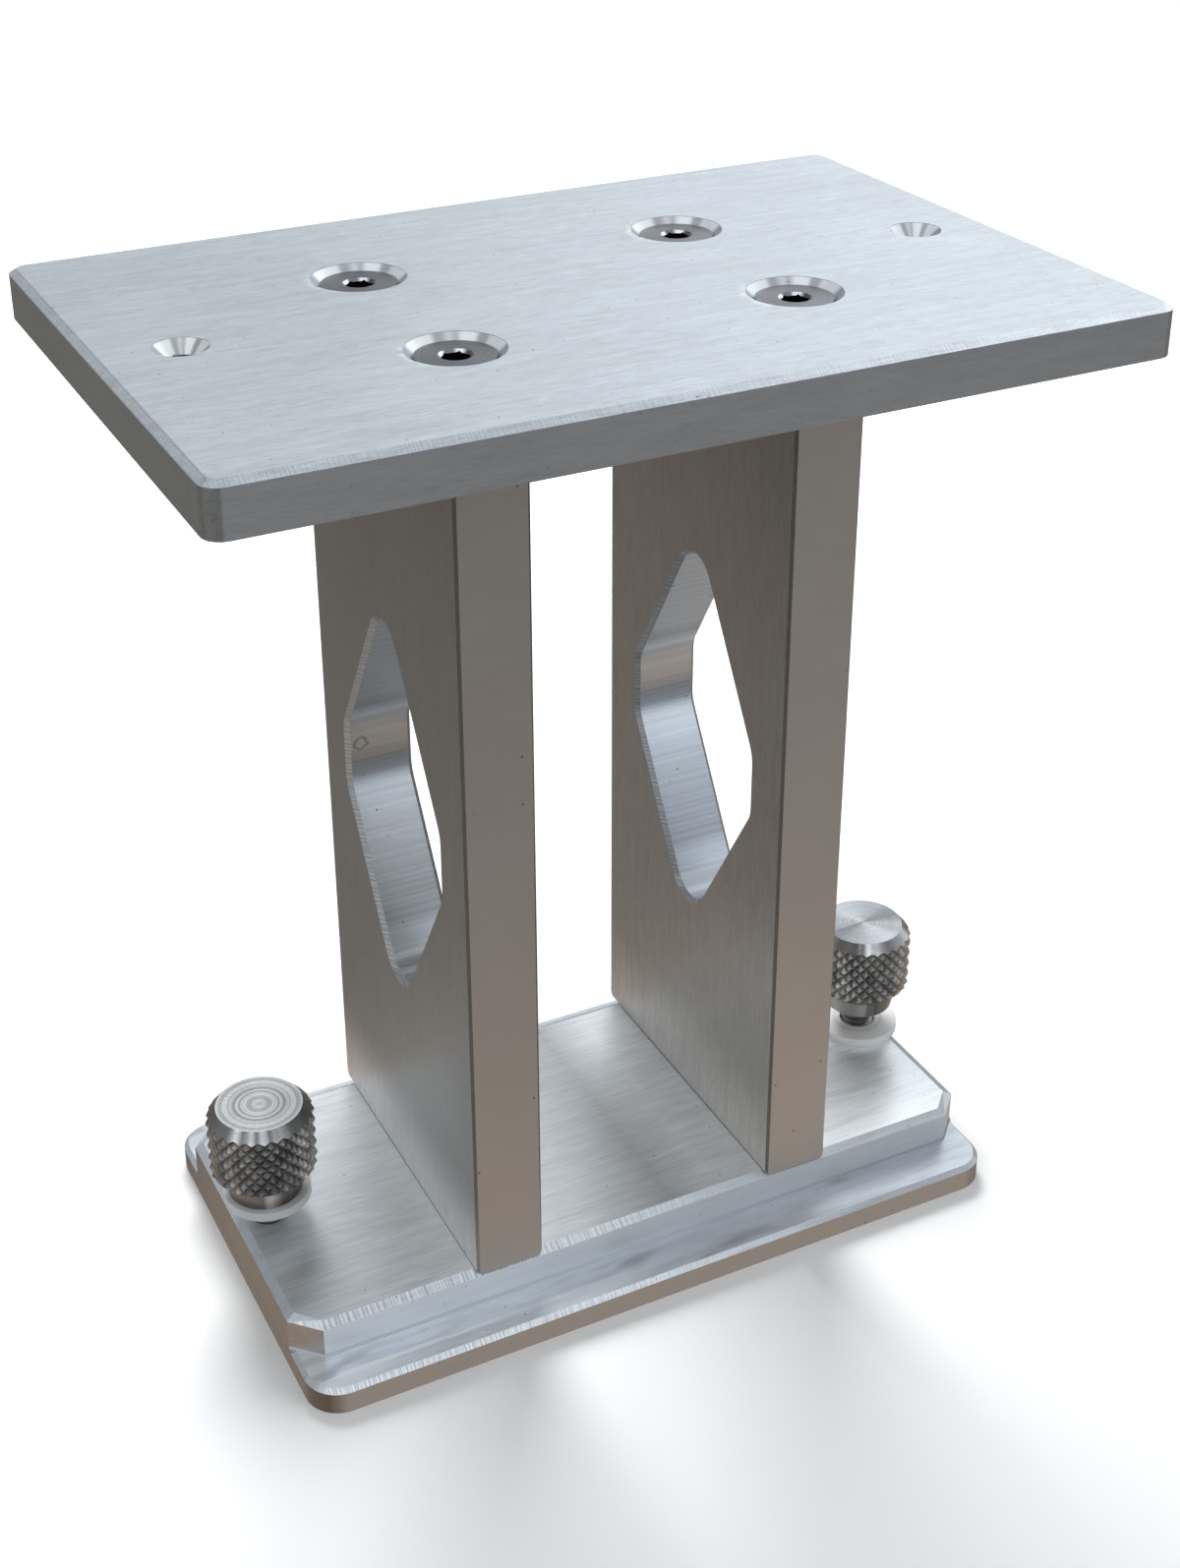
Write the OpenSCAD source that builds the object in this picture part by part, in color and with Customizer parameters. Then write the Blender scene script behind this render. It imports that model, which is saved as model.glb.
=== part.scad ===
// Adapter plate: a flat top plate on two windowed uprights over a stepped base,
// with a knurled thumbscrew and a washer at each end of the base.
// Millimetres. Origin on the underside of the base, midway between the uprights.
// +X to the right, +Y to the back, +Z up.

/* [Top plate] */
// Length of the top plate along X
plate_l = 150; // [130:1:200]
// Depth of the top plate along Y
plate_d = 100; // [80:1:140]
// Thickness of the top plate
plate_t = 8; // [7:0.5:12]
// Corner radius of the top plate seen from above
plate_r = 3; // [2:0.5:10]
// Width of the plate's top chamfer, on the flat
plate_ch_w = 1.3; // [0.4:0.1:1.6]
// Height of the plate's top chamfer, on the wall
plate_ch_h = 0.8; // [0.3:0.1:1.8]
// Distance of each small end hole from the middle
end_hole_x = 62; // [50:1:64]
// Diameter of the small end holes
end_hole_d = 4.5; // [3.4:0.1:5.5]
// Diameter of the small countersinks at the top face
end_sink_d = 8.4; // [6.5:0.1:10]

/* [Uprights] */
// Distance between the middles of the two uprights
upright_pitch = 55.6; // [50:0.2:70]
// Thickness of each upright along X
upright_t = 12; // [11:0.5:16]
// Depth of each upright along Y
upright_d = 60; // [56:1:70]
// Length of each upright along Z
upright_h = 150; // [130:1:200]
// Width of the break on the four standing edges
upright_break = 0.45; // [0.2:0.05:0.8]
// Chamfer on the two long edges of the foot
foot_ch = 0.7; // [0.6:0.1:1]
// Radius on the back edge of the foot
foot_back_r = 3; // [1:0.5:5]

/* [Windows] */
// Width of the window between its standing sides
win_w = 39.6; // [30:0.2:46]
// Length of each standing side before rounding
win_side = 11.2; // [8:0.2:24]
// Lean of the sloping sides from upright, in degrees
win_lean = 31; // [30:1:38]
// Radius of the window corners
win_r = 5.4; // [4:0.2:9]
// Chamfer round the window on both faces
win_ch = 0.8; // [0.3:0.1:1.2]
// Distance of the window's middle below the middle of the upright
win_drop = 0.4; // [0:0.1:2]

/* [Base] */
// Length of the base along X
base_l = 130.2; // [129:0.2:150]
// Distance of the base's middle from the middle of the uprights
base_x = -0.7; // [-1.5:0.1:0]
// Distance of the base's middle behind the middle of the uprights
base_y = -1.2; // [-1.5:0.1:0]
// Depth of the raised pad along Y
pad_d = 57.6; // [57:0.2:64]
// Height of the raised pad over the underside
pad_z = 11; // [10:0.5:14]
// Width of the pad's top chamfer, on the flat
pad_ch_w = 1.5; // [0.8:0.1:2]
// Height of the pad's top chamfer, on the wall
pad_ch_h = 0.8; // [0.5:0.1:1.5]
// Length of the cut across each pad corner, along each side
pad_clip = 4.6; // [3:0.2:6]
// Radius of the fillet between the pad and the flange
pad_fillet = 0.4; // [0.3:0.1:2]
// Depth of the flange along Y
flange_d = 74.6; // [72:0.2:90]
// Thickness of the flange
flange_t = 4.7; // [4:0.1:6]
// Corner radius of the flange seen from above
flange_r = 6; // [5:0.5:7]
// Chamfer on the flange's top edges
flange_ch = 0.8; // [0.4:0.1:1.6]
// Depth of the slot that each upright stands in
slot_depth = 0.5; // [0.3:0.1:0.6]
// Side gap between an upright and its slot
slot_gap = 0.05; // [0.02:0.01:0.1]

/* [Flat head screws] */
// Distance of each screw from the middle along Y
screw_y = 18.5; // [14:0.5:20]
// Diameter of the countersinks at the face
sink_d = 15; // [14:0.1:16]
// Diameter of the clearance holes
screw_hole_d = 6.6; // [6.4:0.1:7]
// Diameter of the screw heads
head_d = 12; // [11:0.1:12.8]
// Height of the straight rim of the screw heads
head_rim = 0.6; // [0.2:0.1:0.8]
// Diameter of the screw shanks
shank_d = 5.9; // [5.7:0.05:5.95]
// Diameter of the threaded holes in the uprights
tapped_d = 6; // [6:0.05:6.1]
// Length of each screw from the face of its head
screw_l = 20; // [16:1:20]
// Depth of the threaded holes in the top of the uprights
top_tap = 20; // [18:1:24]
// Depth of the threaded holes in the foot of the uprights
foot_tap = 18; // [16:1:20]
// Width of the six-sided sockets across their flats
socket_af = 4; // [3:0.5:5]
// Depth of the sockets
socket_depth = 2.6; // [1.5:0.1:3]
// Turn of the socket in the front left head
turn_front_left = 54; // [0:1:60]
// Turn of the socket in the front right head
turn_front_right = 45; // [0:1:60]
// Turn of the socket in the back left head
turn_back_left = 48; // [0:1:60]
// Turn of the socket in the back right head
turn_back_right = 32; // [0:1:60]

/* [Thumbscrews] */
// Distance of each thumbscrew from the middle
thumb_x = 60; // [58:0.5:60]
// Height of the collar's lower face over the underside
thumb_z = 17; // [16.5:0.1:19]
// Diameter over the points of the knurl
knob_d = 18.4; // [17:0.1:20]
// Depth of the knurl grooves
knurl_depth = 0.55; // [0.3:0.05:0.7]
// Number of knurl grooves round the knob
knurl_count = 26; // [20:1:30]
// Rise from one knurl point to the next above it
knurl_rise = 2.35; // [2:0.05:3]
// Diameter of the smooth top face
knob_top_d = 14.7; // [13:0.1:16]
// Height of the chamfer under the top face
knob_ch_h = 2.2; // [1:0.1:2.6]
// Height of the straight knurled length
knob_straight = 9.8; // [8:0.2:14]
// Height of the taper below the knurl
knob_taper = 2.1; // [1.5:0.1:3]
// Diameter of the collar at its upper end
collar_top_d = 13.8; // [13:0.1:15]
// Diameter of the collar at its lower face
collar_d = 12.5; // [11:0.1:13]
// Height of the collar
collar_h = 3.3; // [2:0.1:4]
// Diameter of the studs
stud_d = 6; // [5.8:0.05:6]
// Radial gap round each stud, in the base and in the knob
stud_gap = 0.05; // [0.02:0.01:0.1]
// Length of stud inside the knob
stud_grip = 12; // [8:0.5:13]
// Height of the stud tips over the underside
stud_tip_z = 0.5; // [0:0.1:2]
// Chamfer on the stud tips
stud_ch = 0.6; // [0.3:0.1:1]

/* [Washers] */
// Outer diameter of the washers
washer_d = 15; // [13:0.1:16]
// Hole diameter of the washers
washer_hole_d = 6.6; // [6.5:0.1:7]
// Thickness of the washers
washer_t = 1.6; // [1:0.1:2]
// Sideways hang of the left washer
washer_hang = 0.25; // [0:0.01:0.25]

/* [Hidden] */
$fn = 64;
eps = 0.5;
// the uprights stand on the floor of the slots and carry the plate
up_x = upright_pitch / 2;
foot_z = pad_z - slot_depth;
plate_z = foot_z + upright_h;
plate_top = plate_z + plate_t;
clip_half = (base_l / 2 + pad_d / 2 - pad_clip) / sqrt(2);
// window geometry from its rounded corners, heights in the upright's own frame
win_z = upright_h / 2 - win_drop;
side_c_y = win_w / 2 - win_r;
side_c_z = win_side / 2 - win_r * tan(win_lean / 2);
apex_z = win_side / 2 + win_w / 2 / tan(win_lean);
apex_c_z = apex_z - win_r / sin(win_lean);
// the cone of each head starts where the countersink has closed to its width
head_sink = (sink_d - head_d) / 2 - head_rim;
head_cone = (head_d - shank_d) / 2;
sink_cone = (sink_d - screw_hole_d) / 2;
end_cone = (end_sink_d - end_hole_d) / 2;
socket_r = socket_af / sqrt(3);
mouth_r = socket_r + 0.25;
mouth_h = 0.45;
// heights along a thumbscrew
taper_z = thumb_z + collar_h;
knurl_z = taper_z + knob_taper;
knob_ch_z = knurl_z + knob_straight;
knob_top = knob_ch_z + knob_ch_h;
stud_top = thumb_z + stud_grip;
bore_r = stud_d / 2 + stud_gap;
knurl_turn = 360 / knurl_count / knurl_rise;

// points along part of a circle, n steps from angle a0 to a1
function arc_pts(y, z, r, a0, a1, n) = [
  for (i = [0:n])
    let (a = a0 + (a1 - a0) * i / n)
    [y + r * cos(a), z + r * sin(a)]
];

// rounded six-sided window outline, grown outwards by g
function window_pts(g) = concat(
  arc_pts(side_c_y, side_c_z, win_r + g, 0, win_lean, 5),
  arc_pts(0, apex_c_z, win_r + g, win_lean, 180 - win_lean, 18),
  arc_pts(-side_c_y, side_c_z, win_r + g, 180 - win_lean, 180, 5),
  arc_pts(-side_c_y, -side_c_z, win_r + g, 180, 180 + win_lean, 5),
  arc_pts(0, -apex_c_z, win_r + g, 180 + win_lean, 360 - win_lean, 18),
  arc_pts(side_c_y, -side_c_z, win_r + g, 360 - win_lean, 360, 5)
);

// the outline's x and y run along Y and Z
module along_x(length) {
  rotate([90, 0, 90])
    translate([0, 0, -length / 2])
      linear_extrude(length) children();
}

// the outline's x and y run along X and Z
module along_y(length) {
  rotate([90, 0, 0])
    translate([0, 0, -length / 2])
      linear_extrude(length) children();
}

// half-width w, height h, top edges broken cw across and ch down
module slab_profile(w, h, cw, ch) {
  polygon([
    [-w, 0], [w, 0], [w, h - ch], [w - cw, h], [-w + cw, h], [-w, h - ch]
  ]);
}

// slab with rounded corners and a chamfered top edge
module soft_slab(l, d, h, r, cw, ch) {
  along_x(l - 2 * r) slab_profile(d / 2, h, cw, ch);
  along_y(d - 2 * r) slab_profile(l / 2, h, cw, ch);
  for (sx = [-1, 1], sy = [-1, 1])
    translate([sx * (l / 2 - r), sy * (d / 2 - r), 0])
      rotate_extrude()
        polygon([[0, 0], [r, 0], [r, h - ch], [r - cw, h], [0, h]]);
}

// countersunk hole, wide end on z = 0, running down
module sunk_hole(wide_d, hole_d, cone, depth) {
  translate([0, 0, -cone]) cylinder(h = cone, d1 = hole_d, d2 = wide_d);
  translate([0, 0, -eps * 0.1]) cylinder(h = eps, d = wide_d);
  translate([0, 0, -depth]) cylinder(h = depth, d = hole_d);
}

// flat head screw, head face on z = 0, shank running down
module flat_screw(turn) {
  difference() {
    rotate_extrude()
      polygon([
        [0, 0], [head_d / 2, 0], [head_d / 2, -head_rim],
        [shank_d / 2, -head_rim - head_cone],
        [shank_d / 2, -screw_l + 0.8], [shank_d / 2 - 0.8, -screw_l], [0, -screw_l]
      ]);
    translate([0, 0, -socket_depth])
      rotate([0, 0, turn])
        cylinder(h = socket_depth + eps, r = socket_r, $fn = 6);
    translate([0, 0, -mouth_h])
      cylinder(h = 2 * mouth_h, r1 = mouth_r - 0.45, r2 = mouth_r + 0.45);
  }
}

module top_screw(sx, sy, turn) {
  color([0.72, 0.74, 0.76])
    translate([sx * up_x, sy * screw_y, plate_top - head_sink])
      flat_screw(turn);
}

module foot_screw(sx, sy) {
  color([0.72, 0.74, 0.76])
    translate([sx * up_x, sy * screw_y, head_sink])
      rotate([180, 0, 0]) flat_screw(15);
}

module top_plate() {
  color([0.78, 0.80, 0.82])
    translate([0, 0, plate_z])
      difference() {
        soft_slab(plate_l, plate_d, plate_t, plate_r, plate_ch_w, plate_ch_h);
        for (sx = [-1, 1], sy = [-1, 1])
          translate([sx * up_x, sy * screw_y, plate_t])
            sunk_hole(sink_d, screw_hole_d, sink_cone, plate_t + eps);
        for (sx = [-1, 1])
          translate([sx * end_hole_x, 0, plate_t])
            sunk_hole(end_sink_d, end_hole_d, end_cone, plate_t + eps);
      }
}

// outline of an upright seen from above, standing edges broken
module upright_plan() {
  x = upright_t / 2;
  y = upright_d / 2;
  b = upright_break;
  polygon([
    [-x + b, -y], [x - b, -y], [x, -y + b], [x, y - b],
    [x - b, y], [-x + b, y], [-x, y - b], [-x, -y + b]
  ]);
}

// outline of an upright seen from the front, foot edges chamfered
module upright_front() {
  x = upright_t / 2 + eps;
  c = foot_ch + eps;
  polygon([
    [-x + c, 0], [x - c, 0], [x, c], [x, upright_h], [-x, upright_h], [-x, c]
  ]);
}

// outline of an upright seen from the side, back of the foot rounded
module upright_side() {
  y = upright_d / 2 + eps;
  r = foot_back_r;
  c = upright_d / 2 - r;
  polygon(concat(
    [[-y, 0]],
    arc_pts(c, r, r, 270, 360, 12),
    [[y - eps, upright_h], [-y, upright_h]]
  ));
}

module window_cut() {
  wall = upright_t / 2;
  along_x(upright_t + 2) polygon(window_pts(0));
  for (s = [0, 180])
    rotate([0, 0, s])
      hull() {
        translate([wall - win_ch, 0, 0])
          along_x(0.002) polygon(window_pts(0));
        translate([wall + eps, 0, 0])
          along_x(0.002) polygon(window_pts(win_ch + eps));
      }
}

module upright(sx) {
  color([0.66, 0.64, 0.61])
    translate([sx * up_x, 0, foot_z])
      difference() {
        intersection() {
          linear_extrude(upright_h) upright_plan();
          along_y(upright_d + 2) upright_front();
          along_x(upright_t + 2) upright_side();
        }
        translate([0, 0, win_z]) window_cut();
        for (sy = [-1, 1])
          translate([0, sy * screw_y, 0]) {
            translate([0, 0, upright_h - top_tap])
              cylinder(h = top_tap + eps, d = tapped_d);
            translate([0, 0, -eps])
              cylinder(h = foot_tap + eps, d = tapped_d);
          }
      }
}

module left_upright() {
  upright(-1);
}

module right_upright() {
  upright(1);
}

// half-width w, fillet f where the wall meets the flange
module pad_profile(w, f) {
  low = flange_t - flange_ch - 0.2;
  side = concat(
    [[w + f, low]],
    f > 0 ? arc_pts(w + f, flange_t + f, f, 270, 180, 6) : [],
    [[w, pad_z - pad_ch_h], [w - pad_ch_w, pad_z]]
  );
  other = [for (i = [len(side) - 1:-1:0]) [-side[i][0], side[i][1]]];
  polygon(concat(side, other));
}

// raised pad with cut corners: plain ends, filleted along the rest
module pad() {
  reach = base_l + pad_d;
  intersection() {
    along_x(reach) pad_profile(pad_d / 2, pad_fillet);
    along_y(reach) pad_profile(base_l / 2, 0);
    rotate([0, 0, 45]) along_x(reach) pad_profile(clip_half, pad_fillet);
    rotate([0, 0, -45]) along_x(reach) pad_profile(clip_half, pad_fillet);
  }
}

module base_plate() {
  color([0.76, 0.78, 0.80])
    difference() {
      translate([base_x, base_y, 0])
        union() {
          soft_slab(base_l, flange_d, flange_t, flange_r, flange_ch, flange_ch);
          pad();
        }
      for (sx = [-1, 1]) {
        translate([sx * up_x, 0, foot_z + eps])
          cube([upright_t + 2 * slot_gap, 2 * flange_d, 2 * eps], center = true);
        translate([sx * thumb_x, 0, -eps])
          cylinder(h = pad_z + 2 * eps, r = bore_r);
        for (sy = [-1, 1])
          translate([sx * up_x, sy * screw_y, 0])
            rotate([180, 0, 0])
              sunk_hole(sink_d, screw_hole_d, sink_cone, pad_z + eps);
      }
    }
}

// zigzag outline of the knurl, points at the full diameter
module knurl_outline() {
  r = knob_d / 2;
  n = knurl_count;
  polygon([
    for (i = [0:2 * n - 1])
      let (a = 180 * i / n, q = i % 2 == 0 ? r : r - knurl_depth)
      [q * cos(a), q * sin(a)]
  ]);
}

// crossed grooves over the straight and tapered lengths
module knurl(z0, z1) {
  t = (z1 - z0) * knurl_turn;
  translate([0, 0, z0])
    intersection() {
      linear_extrude(z1 - z0, twist = t, slices = 12) knurl_outline();
      linear_extrude(z1 - z0, twist = -t, slices = 12) knurl_outline();
    }
}

module knob_profile() {
  r = knob_d / 2 + 0.1;
  polygon([
    [0, thumb_z], [collar_d / 2, thumb_z], [collar_top_d / 2, taper_z],
    [r, knurl_z], [r, knob_ch_z], [knob_top_d / 2, knob_top], [0, knob_top]
  ]);
}

module knob() {
  color([0.52, 0.51, 0.49])
    difference() {
      intersection() {
        rotate_extrude($fn = 52) knob_profile();
        union() {
          knurl(taper_z - 0.2, knob_top);
          translate([0, 0, thumb_z - eps])
            cylinder(h = collar_h + eps, d = knob_d - 2);
        }
      }
      translate([0, 0, thumb_z - eps])
        cylinder(h = stud_grip + 0.3 + eps, r = bore_r);
    }
}

module left_knob() {
  translate([-thumb_x, 0, 0]) knob();
}

module right_knob() {
  translate([thumb_x, 0, 0]) knob();
}

module stud() {
  r = stud_d / 2;
  color([0.42, 0.41, 0.40])
    rotate_extrude()
      polygon([
        [0, stud_tip_z], [r - stud_ch, stud_tip_z], [r, stud_tip_z + stud_ch],
        [r, stud_top - stud_ch], [r - stud_ch, stud_top], [0, stud_top]
      ]);
}

module left_stud() {
  translate([-thumb_x, 0, 0]) stud();
}

module right_stud() {
  translate([thumb_x, 0, 0]) stud();
}

module washer() {
  color([0.93, 0.94, 0.93])
    difference() {
      cylinder(h = washer_t, d = washer_d);
      translate([0, 0, -eps]) cylinder(h = washer_t + 2 * eps, d = washer_hole_d);
    }
}

// the left washer hangs under the collar, the right one lies on the pad
module left_washer() {
  translate([-thumb_x + washer_hang, 0, thumb_z - washer_t]) washer();
}

module right_washer() {
  translate([thumb_x, 0, pad_z]) washer();
}

module top_screw_front_left() {
  top_screw(-1, -1, turn_front_left);
}

module top_screw_front_right() {
  top_screw(1, -1, turn_front_right);
}

module top_screw_back_left() {
  top_screw(-1, 1, turn_back_left);
}

module top_screw_back_right() {
  top_screw(1, 1, turn_back_right);
}

module foot_screw_front_left() {
  foot_screw(-1, -1);
}

module foot_screw_front_right() {
  foot_screw(1, -1);
}

module foot_screw_back_left() {
  foot_screw(-1, 1);
}

module foot_screw_back_right() {
  foot_screw(1, 1);
}

base_plate();
left_upright();
right_upright();
top_plate();
top_screw_front_left();
top_screw_front_right();
top_screw_back_left();
top_screw_back_right();
foot_screw_front_left();
foot_screw_front_right();
foot_screw_back_left();
foot_screw_back_right();
left_stud();
left_knob();
left_washer();
right_stud();
right_knob();
right_washer();
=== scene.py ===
# Adapter plate: finishes, threads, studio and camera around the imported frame.
import math

import bpy
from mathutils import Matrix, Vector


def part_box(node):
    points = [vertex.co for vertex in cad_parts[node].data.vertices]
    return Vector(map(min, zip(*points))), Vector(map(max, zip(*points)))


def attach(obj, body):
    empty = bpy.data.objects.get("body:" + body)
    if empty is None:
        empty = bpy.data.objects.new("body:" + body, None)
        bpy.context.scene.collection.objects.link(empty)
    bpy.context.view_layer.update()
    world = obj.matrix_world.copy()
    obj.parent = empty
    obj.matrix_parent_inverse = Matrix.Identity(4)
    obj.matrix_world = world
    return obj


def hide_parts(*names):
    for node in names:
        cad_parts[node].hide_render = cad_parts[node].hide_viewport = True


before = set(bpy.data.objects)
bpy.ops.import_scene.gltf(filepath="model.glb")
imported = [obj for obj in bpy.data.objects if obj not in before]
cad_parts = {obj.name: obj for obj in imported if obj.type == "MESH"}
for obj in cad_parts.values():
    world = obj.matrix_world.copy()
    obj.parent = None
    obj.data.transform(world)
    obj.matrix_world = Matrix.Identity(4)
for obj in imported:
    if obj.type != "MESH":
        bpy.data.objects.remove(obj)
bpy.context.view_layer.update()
print("frame loaded:", len(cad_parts), "nodes")

scene = bpy.context.scene

# where the turned pieces stand, in metres from the middle
holeX = 0.0278
holeY = 0.0185
thumbX = 0.06


# small helpers for node trees
def addNode(tree, kind, **settings):
    made = tree.nodes.new(kind)
    for name, value in settings.items():
        setattr(made, name, value)
    return made


def plug(tree, source, target):
    # source is a socket or a plain value
    if isinstance(source, bpy.types.NodeSocket):
        tree.links.new(source, target)
    elif source is not None:
        target.default_value = source


def calc(tree, operation, a, b=None, c=None):
    made = addNode(tree, "ShaderNodeMath", operation=operation)
    for index, value in enumerate((a, b, c)):
        plug(tree, value, made.inputs[index])
    return made.outputs[0]


def product(tree, *values):
    total = values[0]
    for value in values[1:]:
        total = calc(tree, "MULTIPLY", total, value)
    return total


def absolute(tree, value):
    return calc(tree, "ABSOLUTE", value)


def inverse(tree, value):
    return calc(tree, "SUBTRACT", 1.0, value)


def distanceTo(tree, value, middle):
    return absolute(tree, calc(tree, "SUBTRACT", value, middle))


def within(tree, value, reach):
    # 1 where the value is nearer to zero than the reach
    return calc(tree, "LESS_THAN", absolute(tree, value), reach)


def remap(tree, value, low, high, toLow=0.0, toHigh=1.0, smooth=False):
    made = addNode(tree, "ShaderNodeMapRange", clamp=True)
    made.interpolation_type = "SMOOTHSTEP" if smooth else "LINEAR"
    for index, entry in enumerate((value, low, high, toLow, toHigh)):
        plug(tree, entry, made.inputs[index])
    return made.outputs[0]


def sway(tree, value, low, high, depth):
    # a factor about 1
    return remap(tree, value, low, high, 1.0 - depth, 1.0 + depth)


def blend(tree, factor, a, b):
    made = addNode(tree, "ShaderNodeMix", data_type="FLOAT")
    plug(tree, factor, made.inputs[0])
    plug(tree, a, made.inputs[2])
    plug(tree, b, made.inputs[3])
    return made.outputs[0]


def mixColor(tree, factor, a, b, blendType="MIX"):
    made = addNode(tree, "ShaderNodeMix", data_type="RGBA", blend_type=blendType)
    plug(tree, factor, made.inputs[0])
    plug(tree, a, made.inputs[6])
    plug(tree, b, made.inputs[7])
    return made.outputs[2]


def tinted(tree, color, tint):
    return mixColor(tree, 1.0, color, tint, "MULTIPLY")


def scaleColor(tree, color, factor):
    made = addNode(tree, "ShaderNodeVectorMath", operation="SCALE")
    plug(tree, color, made.inputs[0])
    plug(tree, factor, made.inputs["Scale"])
    return made.outputs[0]


def split(tree, vector):
    made = addNode(tree, "ShaderNodeSeparateXYZ")
    plug(tree, vector, made.inputs[0])
    return made.outputs


def combine(tree, x, y, z):
    made = addNode(tree, "ShaderNodeCombineXYZ")
    for index, value in enumerate((x, y, z)):
        plug(tree, value, made.inputs[index])
    return made.outputs[0]


def noise(tree, vector, scale, detail=2.0, rough=0.5):
    made = addNode(tree, "ShaderNodeTexNoise")
    plug(tree, vector, made.inputs["Vector"])
    made.inputs["Scale"].default_value = scale
    made.inputs["Detail"].default_value = detail
    made.inputs["Roughness"].default_value = rough
    return made.outputs["Fac"]


def levelRamp(tree, place, stops):
    # a ramp of plain levels, each stop being (place from 0 to 1, level)
    made = addNode(tree, "ShaderNodeValToRGB")
    plug(tree, place, made.inputs["Fac"])
    marks = made.color_ramp.elements
    for mark, stop in ((marks[0], stops[0]), (marks[1], stops[-1])):
        mark.position = stop[0]
        mark.color = (stop[1], stop[1], stop[1], 1)
    for spot, level in stops[1:-1]:
        marks.new(spot).color = (level, level, level, 1)
    return made.outputs["Color"]


def turnRamp(tree, turn, stops):
    # the same round a circle, each stop being (degrees from -180 to 180, level)
    return levelRamp(tree, turn, [(degrees / 360 + 0.5, level) for degrees, level in stops])


def asTurn(tree, angle):
    # -180 to 180 degrees become 0 to 1
    return calc(tree, "MULTIPLY_ADD", angle, 0.5 / math.pi, 0.5)


def turnOf(tree, x, y):
    return asTurn(tree, calc(tree, "ARCTAN2", y, x))


def turnBehind(tree, normal):
    # a hollow's wall faces its axis, so its place round the axis is behind its normal
    facing = split(tree, normal)
    return turnOf(tree, product(tree, facing[0], -1.0), product(tree, facing[1], -1.0))


# shared effects, each a group with named inputs and outputs
def newGroup(name, inputs, outputs):
    group = bpy.data.node_groups.new(name, "ShaderNodeTree")
    for label, kind, value in inputs:
        made = group.interface.new_socket(label, in_out="INPUT", socket_type=kind)
        if value is not None:
            made.default_value = value
    for label in outputs:
        group.interface.new_socket(label, in_out="OUTPUT", socket_type="NodeSocketFloat")
    start = group.nodes.new("NodeGroupInput")
    end = group.nodes.new("NodeGroupOutput")
    return group, start.outputs, end.inputs


def useGroup(tree, group, **values):
    made = addNode(tree, "ShaderNodeGroup", node_tree=group)
    for label, value in values.items():
        plug(tree, value, made.inputs[label])
    return made.outputs


grainMix = {
    "fineRough": 0.65, "fineShare": 0.65, "broadScale": 0.23, "broadShare": 0.35, "contrast": (0.32, 0.68),
}


def buildCutterGrain(mix):
    # long fine lines left by a cutter, running along the vector's own X
    group, given, result = newGroup(
        "cutterGrain",
        [("Vector", "NodeSocketVector", None), ("Across", "NodeSocketFloat", 3000.0),
         ("Along", "NodeSocketFloat", 60.0)],
        ["Lines"],
    )
    stretched = addNode(group, "ShaderNodeVectorMath", operation="MULTIPLY")
    plug(group, given["Vector"], stretched.inputs[0])
    plug(group, combine(group, given["Along"], given["Across"], given["Across"]), stretched.inputs[1])
    fine = noise(group, stretched.outputs[0], 1.0, detail=3.0, rough=mix["fineRough"])
    broad = noise(group, scaleColor(group, stretched.outputs[0], mix["broadScale"]), 1.0)
    lines = calc(group, "ADD", product(group, fine, mix["fineShare"]),
                 product(group, broad, mix["broadShare"]))
    plug(group, remap(group, lines, *mix["contrast"]), result["Lines"])
    return group


# how far a normal leans before a face counts as one kind or another
leanMix = {"chamfer": (0.985, 0.95), "slantLow": (0.15, 0.30), "flat": (0.9, 0.98), "side": (0.35, 0.95)}


def buildChamferMask(mix):
    # masks by how a face leans: Chamfer is 1 on every chamfer and Slant on those that look partly up or down
    group, given, result = newGroup(
        "chamferMask",
        [("Normal", "NodeSocketVector", None)],
        ["Chamfer", "Top", "Front", "Side", "Slant"],
    )
    sizes = [absolute(group, part) for part in split(group, given["Normal"])]
    biggest = calc(group, "MAXIMUM", calc(group, "MAXIMUM", sizes[0], sizes[1]), sizes[2])
    plug(group, remap(group, biggest, *mix["chamfer"]), result["Chamfer"])
    slant = product(group, remap(group, sizes[2], *mix["slantLow"]), remap(group, sizes[2], *mix["chamfer"]))
    plug(group, slant, result["Slant"])
    plug(group, remap(group, sizes[2], *mix["flat"]), result["Top"])
    plug(group, remap(group, sizes[1], *mix["flat"]), result["Front"])
    plug(group, remap(group, sizes[0], *mix["side"]), result["Side"])
    return group


speckMix = {"smallest": 0.08, "spread": 0.22, "core": 0.5}


def buildSpecks(mix):
    # small scattered pits and stains
    group, given, result = newGroup(
        "specks",
        [("Vector", "NodeSocketVector", None), ("Size", "NodeSocketFloat", 0.002),
         ("Share", "NodeSocketFloat", 0.1)],
        ["Mask"],
    )
    cells = addNode(group, "ShaderNodeTexVoronoi", feature="F1")
    shrunk = scaleColor(group, given["Vector"], calc(group, "DIVIDE", 1.0, given["Size"]))
    plug(group, shrunk, cells.inputs["Vector"])
    chosen = split(group, cells.outputs["Color"])
    picked = calc(group, "LESS_THAN", chosen[0], given["Share"])
    radius = calc(group, "MULTIPLY_ADD", chosen[1], mix["spread"], mix["smallest"])
    spot = remap(group, cells.outputs["Distance"], radius, product(group, radius, mix["core"]))
    plug(group, product(group, picked, spot), result["Mask"])
    return group


ringMix = {"rough": 0.6, "contrast": (0.3, 0.7)}


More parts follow.
